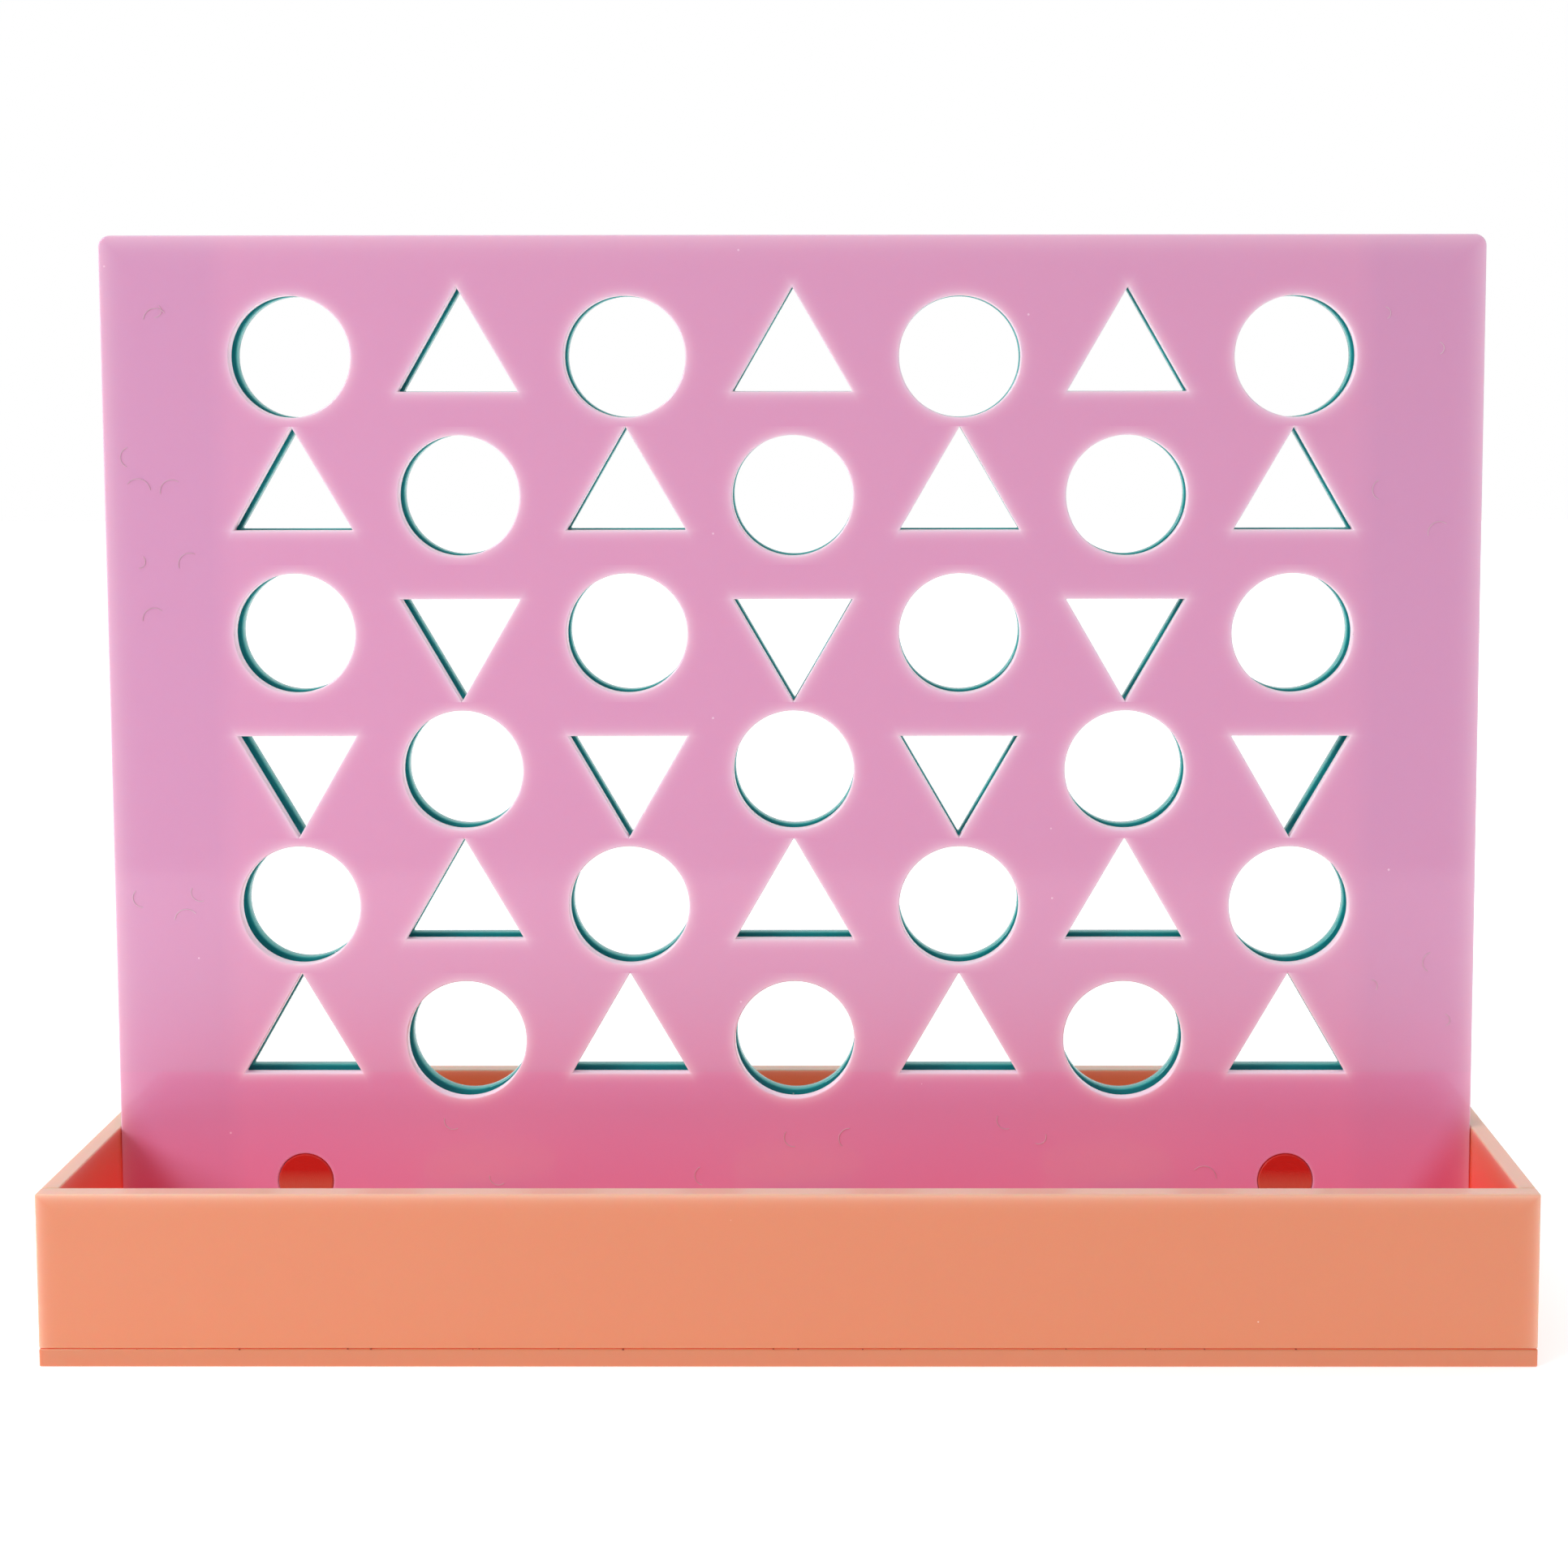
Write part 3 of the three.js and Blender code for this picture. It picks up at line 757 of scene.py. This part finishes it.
light_from_tray = make_light_from_tray()
TRAY_WALL_LINE = 0.0577


def board_painted_tray_light(tree, position, colour):
    """The pink sheet's face colour with painted light and shade from the tray, and a faint painted glow."""
    made = use_group(tree, light_from_tray, {
        "Position": position, "Colour": colour, "Foot Painted Light": (1.0, 0.78, 0.88, 1.0),
        "Strip Painted Shade": (0.935, 0.96, 0.985, 1.0),
        "Glow": (0.1, 0.034, 0.06, 1.0), "Corner Painted Shade": (1.0, 0.68, 0.72, 1.0), "Wall Line": TRAY_WALL_LINE,
        "Strip Side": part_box("right_side_strip")[0].x, "End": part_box("front_panel")[1].x})
    return made["Colour"], made["Glow"]


STUD_RIM_LIGHT = 0.0003


def panel_acrylic(name, colours, low, high, polish, halo, stud_hole, painted_light_and_shade_maker):
    """Sheet for a pierced panel, with a painted highlight round its outline, its stud holes and, over a halo,
    every window.
    """
    def light(tree, position):
        border = use_group(tree, cut_edge_light, {
            "Position": position, "Low": (low.x, -FAR, low.z), "High": (high.x, FAR, high.z),
            "Falloff": 0.0021})
        windows = use_group(tree, window_light, {
            "Position": position, "Column Pitch": column_pitch, "Row Pitch": row_pitch,
            "Bottom Row": bottom_row_height,
            "Circle": token_radius - WINDOW_LIP, "Corner": token_radius, "Falloff": halo})
        axes = node(tree, "ShaderNodeSeparateXYZ", {0: position})
        across = calc(tree, "SUBTRACT", calc(tree, "ABSOLUTE", axes.outputs[0]), abs(stud_centre.x))
        up = calc(tree, "SUBTRACT", axes.outputs[2], stud_centre.z)
        square = calc(tree, "ADD", calc(tree, "MULTIPLY", across, across), calc(tree, "MULTIPLY", up, up))
        beyond = calc(tree, "MAXIMUM", calc(tree, "SUBTRACT", calc(tree, "SQRT", square), stud_hole), 0.0)
        stud_rim = calc(tree, "EXPONENT", calc(tree, "MULTIPLY", beyond, -1 / STUD_RIM_LIGHT))
        rims = calc(tree, "MAXIMUM", windows["Light"], calc(tree, "MULTIPLY", stud_rim, 0.7))
        return calc(tree, "MAXIMUM", calc(tree, "MULTIPLY", border["Light"], 0.6), rims)

    return cast_acrylic(name, colours, light, polish, (5200.0, 260.0, 5200.0), (0.4, (1.0, 0.6, 0.5), 0.003),
                        painted_light_and_shade_maker)


# Face, haze, cut-edge and dust colours; the cut-edge colour is the painted highlight along edges and window
# rims.
PINK = (srgb(230, 160, 196), srgb(226, 161, 200), srgb(249, 218, 233), srgb(250, 222, 236))
TEAL = (srgb(0, 156, 158), srgb(0, 148, 148), srgb(64, 176, 170), srgb(190, 220, 216))
pierced_panel = make_pierced_panel()
# The last entry of each sheet makes the painted light and shade from the tray; only the pink sheet has it.
BOARD_SHEETS = {
    "front_panel": (PINK, "pink_acrylic", (stud_high.x - stud_low.x) / 2, 0.00095, board_painted_tray_light),
    "back_panel": (TEAL, "teal_acrylic", 0.003, 0.00015, None),
}
for part, (colours, slot, hole_radius, halo, painted_surround) in BOARD_SHEETS.items():
    low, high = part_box(part)
    panel = grow(part + "_sheet", pierced_panel, {
        "Half Width": high.x, "Foot": low.z, "Top": high.z, "Corner Radius": PANEL_CORNER_RADIUS,
        "Column Pitch": column_pitch, "Row Pitch": row_pitch, "Bottom Row": bottom_row_height,
        "Circle": token_radius - WINDOW_LIP, "Corner": token_radius,
        "Stud Side": -stud_centre.x, "Stud Height": stud_centre.z,
        "Stud Hole": hole_radius + STUD_HOLE_CLEARANCE,
        "Front": low.y, "Thickness": high.y - low.y,
        "Material": panel_acrylic(slot + "_panel", colours, low, high, 0.06, halo, hole_radius, painted_surround)},
        ease_edges(WINDOW_EASING, 2))
    refill_flats(panel.data, (low.y, high.y))
    settle_shading(panel.data, (1,))
    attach(panel, "board")
    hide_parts(part)


# ---- Lint on the board -------------------------------------------------------------------------------------
# Static holds a few short textile fibres to the polished pink sheet, most of them in the clear margins beside
# the windows and along the foot.
def make_lint():
    """Short curled fibres at random in a flat region that faces forward."""
    tree, given, result = new_group(
        "lint_fibres", "GeometryNodeTree",
        {"Low": "Vector", "High": "Vector", "Fibres": "Int", "Curl": "Float", "Thickness": "Float",
         "Seed": "Int",
         "Material": "Material"}, {"Geometry": "Geometry"})
    line = node(tree, "GeometryNodeMeshLine", {"Count": given.outputs["Fibres"]})
    spot = node(tree, "FunctionNodeRandomValue", {0: given.outputs["Low"], 1: given.outputs["High"],
                                                  "Seed": given.outputs["Seed"]}, data_type="FLOAT_VECTOR")
    spread = node(tree, "GeometryNodeSetPosition", {"Geometry": line.outputs[0], "Position": spot.outputs[0]})
    arc = node(tree, "GeometryNodeCurveArc",
               {"Resolution": 12, "Radius": given.outputs["Curl"], "Sweep Angle": 2.4})
    upright = node(tree, "GeometryNodeTransform",
                   {"Geometry": arc.outputs[0], "Rotation": (math.pi / 2, 0.0, 0.0)})
    turn = node(tree, "FunctionNodeRandomValue", {"Seed": given.outputs["Seed"]}, data_type="FLOAT")
    turn.inputs[3].default_value = 2 * math.pi
    size = node(tree, "FunctionNodeRandomValue", {"Seed": given.outputs["Seed"]}, data_type="FLOAT")
    size.inputs[2].default_value = 0.5
    size.inputs[3].default_value = 1.3
    laid = node(tree, "GeometryNodeInstanceOnPoints", {
        "Points": spread.outputs[0], "Instance": upright.outputs[0],
        "Rotation": node(tree, "ShaderNodeCombineXYZ", {1: turn.outputs[1]}).outputs[0],
        "Scale": size.outputs[1]})
    real = node(tree, "GeometryNodeRealizeInstances", {0: laid.outputs[0]})
    section = node(tree, "GeometryNodeCurvePrimitiveCircle",
                   {"Resolution": 5, "Radius": given.outputs["Thickness"]})
    fibre = node(tree, "GeometryNodeCurveToMesh",
                 {"Curve": real.outputs[0], "Profile Curve": section.outputs[0],
                                                   "Fill Caps": True})
    dressed = node(tree, "GeometryNodeSetMaterial",
                   {0: fibre.outputs[0], "Material": given.outputs["Material"]})
    tree.links.new(dressed.outputs[0], result.inputs["Geometry"])
    return tree


def textile_fibre():
    """Pale cotton with darker stretches."""
    material = bpy.data.materials.new("textile_fibre")
    material.use_nodes = True
    tree = material.node_tree
    shader = tree.nodes["Principled BSDF"]
    position = node(tree, "ShaderNodeTexCoord").outputs["Object"]
    shade = use_group(tree, cast_haze, {"Position": position, "Face Colour": srgb(254, 248, 252),
                                        "Haze Colour": srgb(168, 66, 104), "Amount": 1.0})
    tree.links.new(shade["Colour"], shader.inputs["Base Color"])
    marks = use_group(tree, handling_marks,
                      {"Position": position, "Polish": 0.7, "Smudge": 0.1, "Scratch": 0.0})
    tree.links.new(marks["Roughness"], shader.inputs["Roughness"])
    return material


lint_tree = make_lint()
cotton = textile_fibre()
board_low, board_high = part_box("front_panel")
LINT_THICKNESS = 0.00008
window_side = column_pitch * (COLUMNS - 1) / 2 + token_radius + 0.003
LINT_REGIONS = {
    "left_margin": (board_low.x + 0.004, -window_side, 0.05, board_high.z - 0.006, 11),
    "right_margin": (window_side, board_high.x - 0.004, 0.05, board_high.z - 0.006, 7),
    "foot": (-0.11, 0.11, rail_low.z + 0.024, rail_high.z - 0.002, 8),
}
for number, (region, (left, right, foot, top, fibres)) in enumerate(LINT_REGIONS.items()):
    lint = grow(region + "_lint", lint_tree, {
        "Low": (left, board_low.y - LINT_THICKNESS, foot), "High": (right, board_low.y - LINT_THICKNESS, top),
        "Fibres": fibres, "Curl": 0.0025, "Thickness": LINT_THICKNESS, "Seed": 3 + number,
        "Material": cotton})
    settle_shading(lint.data, ())
    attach(lint, "board")


# ---- Token rail --------------------------------------------------------------------------------------------
# A strip of clear acrylic cemented upright to the tray floor between the panels. Its top edge is the floor of
# the columns, and two round-bottomed slots let the board's studs drop in.
def clear_acrylic():
    """Clear sheet, sawn and left a little matt, with a faint blue-grey cast."""
    material = bpy.data.materials.new("clear_sheet")
    material.use_nodes = True
    tree = material.node_tree
    shader = tree.nodes["Principled BSDF"]
    position = node(tree, "ShaderNodeTexCoord").outputs["Object"]
    body = use_group(tree, cast_haze, {"Position": position, "Face Colour": srgb(236, 240, 244),
                                       "Haze Colour": srgb(222, 230, 236), "Amount": 0.8})
    tree.links.new(body["Colour"], shader.inputs["Base Color"])
    marks = use_group(tree, handling_marks,
                      {"Position": position, "Polish": 0.12, "Smudge": 0.06, "Scratch": 0.02})
    tree.links.new(marks["Roughness"], shader.inputs["Roughness"])
    sawn = use_group(tree, saw_marks, {"Position": position, "Stretch": (4200.0, 200.0, 4200.0)})
    bump = node(tree, "ShaderNodeBump", {"Strength": 0.03, "Distance": 0.00002, "Height": sawn["Height"]})
    tree.links.new(bump.outputs[0], shader.inputs["Normal"])
    shader.inputs["IOR"].default_value = 1.49
    shader.inputs["Transmission Weight"].default_value = 0.65
    return material


def slotted_rail(name, low, high, slots, slot_bottom, slot_radius):
    """An upright strip whose top edge is cut by round-bottomed slots, listed from right to left."""
    outline = [(low.x, low.z), (high.x, low.z), (high.x, high.z)]
    steps = 16
    for x in slots:
        outline.append((x + slot_radius, high.z))
        for step in range(steps + 1):
            angle = -math.pi * step / steps
            outline.append((x + slot_radius * math.cos(angle), slot_bottom + slot_radius * math.sin(angle)))
        outline.append((x - slot_radius, high.z))
    outline.append((low.x, high.z))
    form = bmesh.new()
    face = form.faces.new([form.verts.new((x, low.y, z)) for x, z in outline])
    grown = bmesh.ops.extrude_face_region(form, geom=[face])
    moved = [item for item in grown["geom"] if isinstance(item, bmesh.types.BMVert)]
    bmesh.ops.translate(form, verts=moved, vec=(0.0, high.y - low.y, 0.0))
    bmesh.ops.recalc_face_normals(form, faces=form.faces)
    sharp = [edge for edge in form.edges if edge.calc_face_angle(0.0) > math.radians(40)]
    bmesh.ops.bevel(form, geom=sharp, offset=WINDOW_EASING, segments=2, profile=0.5, affect="EDGES",
                    clamp_overlap=True)
    mesh = bpy.data.meshes.new(name)
    form.to_mesh(mesh)
    form.free()
    settle_shading(mesh)
    return place(name, mesh)


RAIL_SLOT_RADIUS = 0.0033
clear_sheet = clear_acrylic()
rail = slotted_rail("token_rail_strip", rail_low, rail_high, (-stud_centre.x, stud_centre.x), stud_centre.z,
                    RAIL_SLOT_RADIUS)
rail.data.materials.append(clear_sheet)
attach(rail, "tray")
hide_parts("token_rail")


# ---- Side strips and column dividers -----------------------------------------------------------------------
# Clear strips cemented between the panels: a wide one down each side, which also guides the board over the
# rail, and six narrow ones that part the columns above the rail.
for part in ("left_side_strip", "right_side_strip"):
    low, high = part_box(part)
    strip = rounded_sheet(part + "_sheet", low, high, SHEET_EDGE_RADIUS)
    strip.data.materials.append(clear_sheet)
    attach(strip, "board")
    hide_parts(part)


def make_divider_row():
    """Equal upright strips side by side, one column pitch apart."""
    tree, given, result = new_group(
        "divider_row", "GeometryNodeTree",
        {"Pitch": "Float", "Count": "Int", "Size": "Vector", "First": "Vector", "Material": "Material"},
        {"Geometry": "Geometry"})
    strip = node(tree, "GeometryNodeMeshCube", {"Size": given.outputs["Size"]})
    step = node(tree, "ShaderNodeCombineXYZ", {0: given.outputs["Pitch"]})
    spots = node(tree, "GeometryNodeMeshLine",
                 {"Count": given.outputs["Count"], "Start Location": given.outputs["First"],
                                                "Offset": step.outputs[0]})
    row = node(tree, "GeometryNodeInstanceOnPoints",
               {"Points": spots.outputs[0], "Instance": strip.outputs[0]})
    real = node(tree, "GeometryNodeRealizeInstances", {0: row.outputs[0]})
    dressed = node(tree, "GeometryNodeSetMaterial",
                   {0: real.outputs[0], "Material": given.outputs["Material"]})
    tree.links.new(dressed.outputs[0], result.inputs["Geometry"])
    return tree


divider_low, divider_high = first_divider
dividers = grow("column_dividers", make_divider_row(), {
    "Pitch": column_pitch, "Count": COLUMNS - 1, "Size": divider_high - divider_low,
    "First": (divider_low + divider_high) / 2, "Material": clear_sheet}, ease_edges(SHEET_EDGE_RADIUS, 2))
settle_shading(dividers.data)
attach(dividers, "board")
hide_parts(*[f"column_divider_{number}" for number in range(1, COLUMNS)])


# ---- Studs -------------------------------------------------------------------------------------------------
# Two studs turned from deep coral acrylic rod tie the panels together below the end columns. The wide head
# sits flush in the pink panel, and the thin shank ends flush with the back of the teal panel.
def turned_coral():
    """Rod with the faint rings of its turning on the end faces, painted a deeper red above its middle as
    shade.
    """
    material = bpy.data.materials.new("turned_coral")
    material.use_nodes = True
    tree = material.node_tree
    shader = tree.nodes["Principled BSDF"]
    position = node(tree, "ShaderNodeTexCoord").outputs["Object"]
    body = use_group(tree, cast_haze, {"Position": position, "Face Colour": srgb(208, 102, 84),
                                       "Haze Colour": srgb(214, 112, 88), "Amount": 1.0})
    marks = use_group(tree, handling_marks,
                      {"Position": position, "Polish": 0.22, "Smudge": 0.12, "Scratch": 0.0})
    tree.links.new(marks["Roughness"], shader.inputs["Roughness"])
    axes = node(tree, "ShaderNodeSeparateXYZ", {0: position})
    # Painted shade: the colour deepens to dark red above the stud's middle.
    upper_painted_shade = node(tree, "ShaderNodeMapRange",
                 {0: axes.outputs[2], 1: stud_centre.z - 0.001, 2: stud_centre.z + 0.003,
                                              3: 0.0, 4: 1.0}).outputs[0]
    tree.links.new(blend_colour(tree, upper_painted_shade, body["Colour"], srgb(206, 46, 40)), shader.inputs["Base Color"])
    across = calc(tree, "SUBTRACT", calc(tree, "ABSOLUTE", axes.outputs[0]), abs(stud_centre.x))
    up = calc(tree, "SUBTRACT", axes.outputs[2], stud_centre.z)
    radius = calc(tree, "SQRT",
                  calc(tree, "ADD", calc(tree, "MULTIPLY", across, across), calc(tree, "MULTIPLY", up, up)))
    rings = calc(tree, "SINE", calc(tree, "MULTIPLY", radius, 2 * math.pi / 0.0005))
    bump = node(tree, "ShaderNodeBump", {"Strength": 0.15, "Distance": 0.00004, "Height": rings})
    tree.links.new(bump.outputs[0], shader.inputs["Normal"])
    shader.inputs["IOR"].default_value = 1.49
    shader.inputs["Subsurface Weight"].default_value = 0.2
    shader.inputs["Subsurface Radius"].default_value = (1.0, 0.4, 0.3)
    shader.inputs["Subsurface Scale"].default_value = 0.003
    return material


def turned_stud(name, centre, front, back, head_radius, head_depth, shank_radius, chamfer):
    """A stepped pin on an axis along Y, lathed from a profile of distance along the axis and radius."""
    profile = [
        (front, 0.0), (front, head_radius - chamfer), (front + chamfer, head_radius),
        (front + head_depth - chamfer, head_radius), (front + head_depth, head_radius - chamfer),
        (front + head_depth, shank_radius), (back - chamfer, shank_radius), (back, shank_radius - chamfer),
        (back, 0.0),
    ]
    form = bmesh.new()
    verts = [form.verts.new((centre.x + radius, y, centre.z)) for y, radius in profile]
    edges = [form.edges.new(pair) for pair in zip(verts, verts[1:])]
    bmesh.ops.spin(form, geom=verts + edges, cent=centre, axis=(0.0, 1.0, 0.0), angle=2 * math.pi, steps=72,
                   use_merge=True)
    bmesh.ops.remove_doubles(form, verts=form.verts, dist=0.000001)
    bmesh.ops.recalc_face_normals(form, faces=form.faces)
    mesh = bpy.data.meshes.new(name)
    form.to_mesh(mesh)
    form.free()
    settle_shading(mesh, (1,))
    return place(name, mesh)


STUD_SHANK_RADIUS = 0.003
STUD_CHAMFER = 0.0003
turned_finish = turned_coral()
front_low, front_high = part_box("front_panel")
for part in ("left_stud", "right_stud"):
    low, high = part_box(part)
    stud = turned_stud(part + "_turned", (low + high) / 2, low.y, high.y, (high.x - low.x) / 2,
                       front_high.y - front_low.y, STUD_SHANK_RADIUS, STUD_CHAMFER)
    stud.data.materials.append(turned_finish)
    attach(stud, "board")
    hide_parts(part)


# ---- Tokens ------------------------------------------------------------------------------------------------
# Forty-two discs cut from translucent yellow and blue sheet, lying in stacks in the tray between games. Each
# is a body of its own.
def make_token_disc():
    """A flat disc lying on its foot height, centred on a spot."""
    tree, given, result = new_group(
        "token_disc", "GeometryNodeTree",
        {"Radius": "Float", "Thickness": "Float", "Spot": "Vector", "Material": "Material"},
        {"Geometry": "Geometry"})
    disc = node(tree, "GeometryNodeMeshCylinder", {"Vertices": 96, "Radius": given.outputs["Radius"],
                                                   "Depth": given.outputs["Thickness"]}, fill_type="NGON")
    laid = node(tree, "GeometryNodeTransform",
                {"Geometry": disc.outputs[0], "Translation": given.outputs["Spot"]})
    real = node(tree, "GeometryNodeRealizeInstances", {0: laid.outputs[0]})
    dressed = node(tree, "GeometryNodeSetMaterial",
                   {0: real.outputs[0], "Material": given.outputs["Material"]})
    tree.links.new(dressed.outputs[0], result.inputs["Geometry"])
    return tree


def stack_light(tokens):
    """The mask of the painted rim highlight on a set of stacks: 1 on the rims of the discs, fading towards
    their middles.
    """
    stack_places = sorted({tuple(round(value, 6) for value in ((low + high) / 2).xy) for low, high in tokens})

    def light(tree, position):
        axes = node(tree, "ShaderNodeSeparateXYZ", {0: position})
        nearest = 1.0
        for x, y in stack_places:
            across = calc(tree, "SUBTRACT", axes.outputs[0], x)
            along = calc(tree, "SUBTRACT", axes.outputs[1], y)
            square = calc(tree, "ADD", calc(tree, "MULTIPLY", across, across),
                          calc(tree, "MULTIPLY", along, along))
            nearest = calc(tree, "MINIMUM", nearest, calc(tree, "SQRT", square))
        depth = calc(tree, "MAXIMUM", calc(tree, "SUBTRACT", token_radius, nearest), 0.0)
        return calc(tree, "EXPONENT", calc(tree, "MULTIPLY", depth, -1000.0))

    return light


TOKEN_EASING = 0.0004
# Face, haze, rim and dust colours; the rim colour is a painted highlight.
TOKEN_COLOURS = {
    "yellow": (srgb(240, 196, 64), srgb(236, 188, 58), srgb(250, 228, 140), srgb(252, 240, 196)),
    "blue": (srgb(58, 96, 190), srgb(52, 88, 180), srgb(128, 160, 222), srgb(200, 210, 236)),
}
token_disc = make_token_disc()
for colour, shades in TOKEN_COLOURS.items():
    names = [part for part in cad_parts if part.startswith(colour + "_token_")]
    finish = cast_acrylic(colour + "_sheet", shades, stack_light([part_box(part) for part in names]), 0.1,
                          (4200.0, 4200.0, 200.0), (0.3, (1.0, 0.6, 0.5), 0.003))
    for part in sorted(names):
        low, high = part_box(part)
        token = grow(part + "_disc", token_disc, {
            "Radius": token_radius, "Thickness": high.z - low.z, "Spot": (low + high) / 2,
            "Material": finish},
            ease_edges(TOKEN_EASING, 2))
        settle_shading(token.data, (2,))
        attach(token, part)
        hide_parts(part)
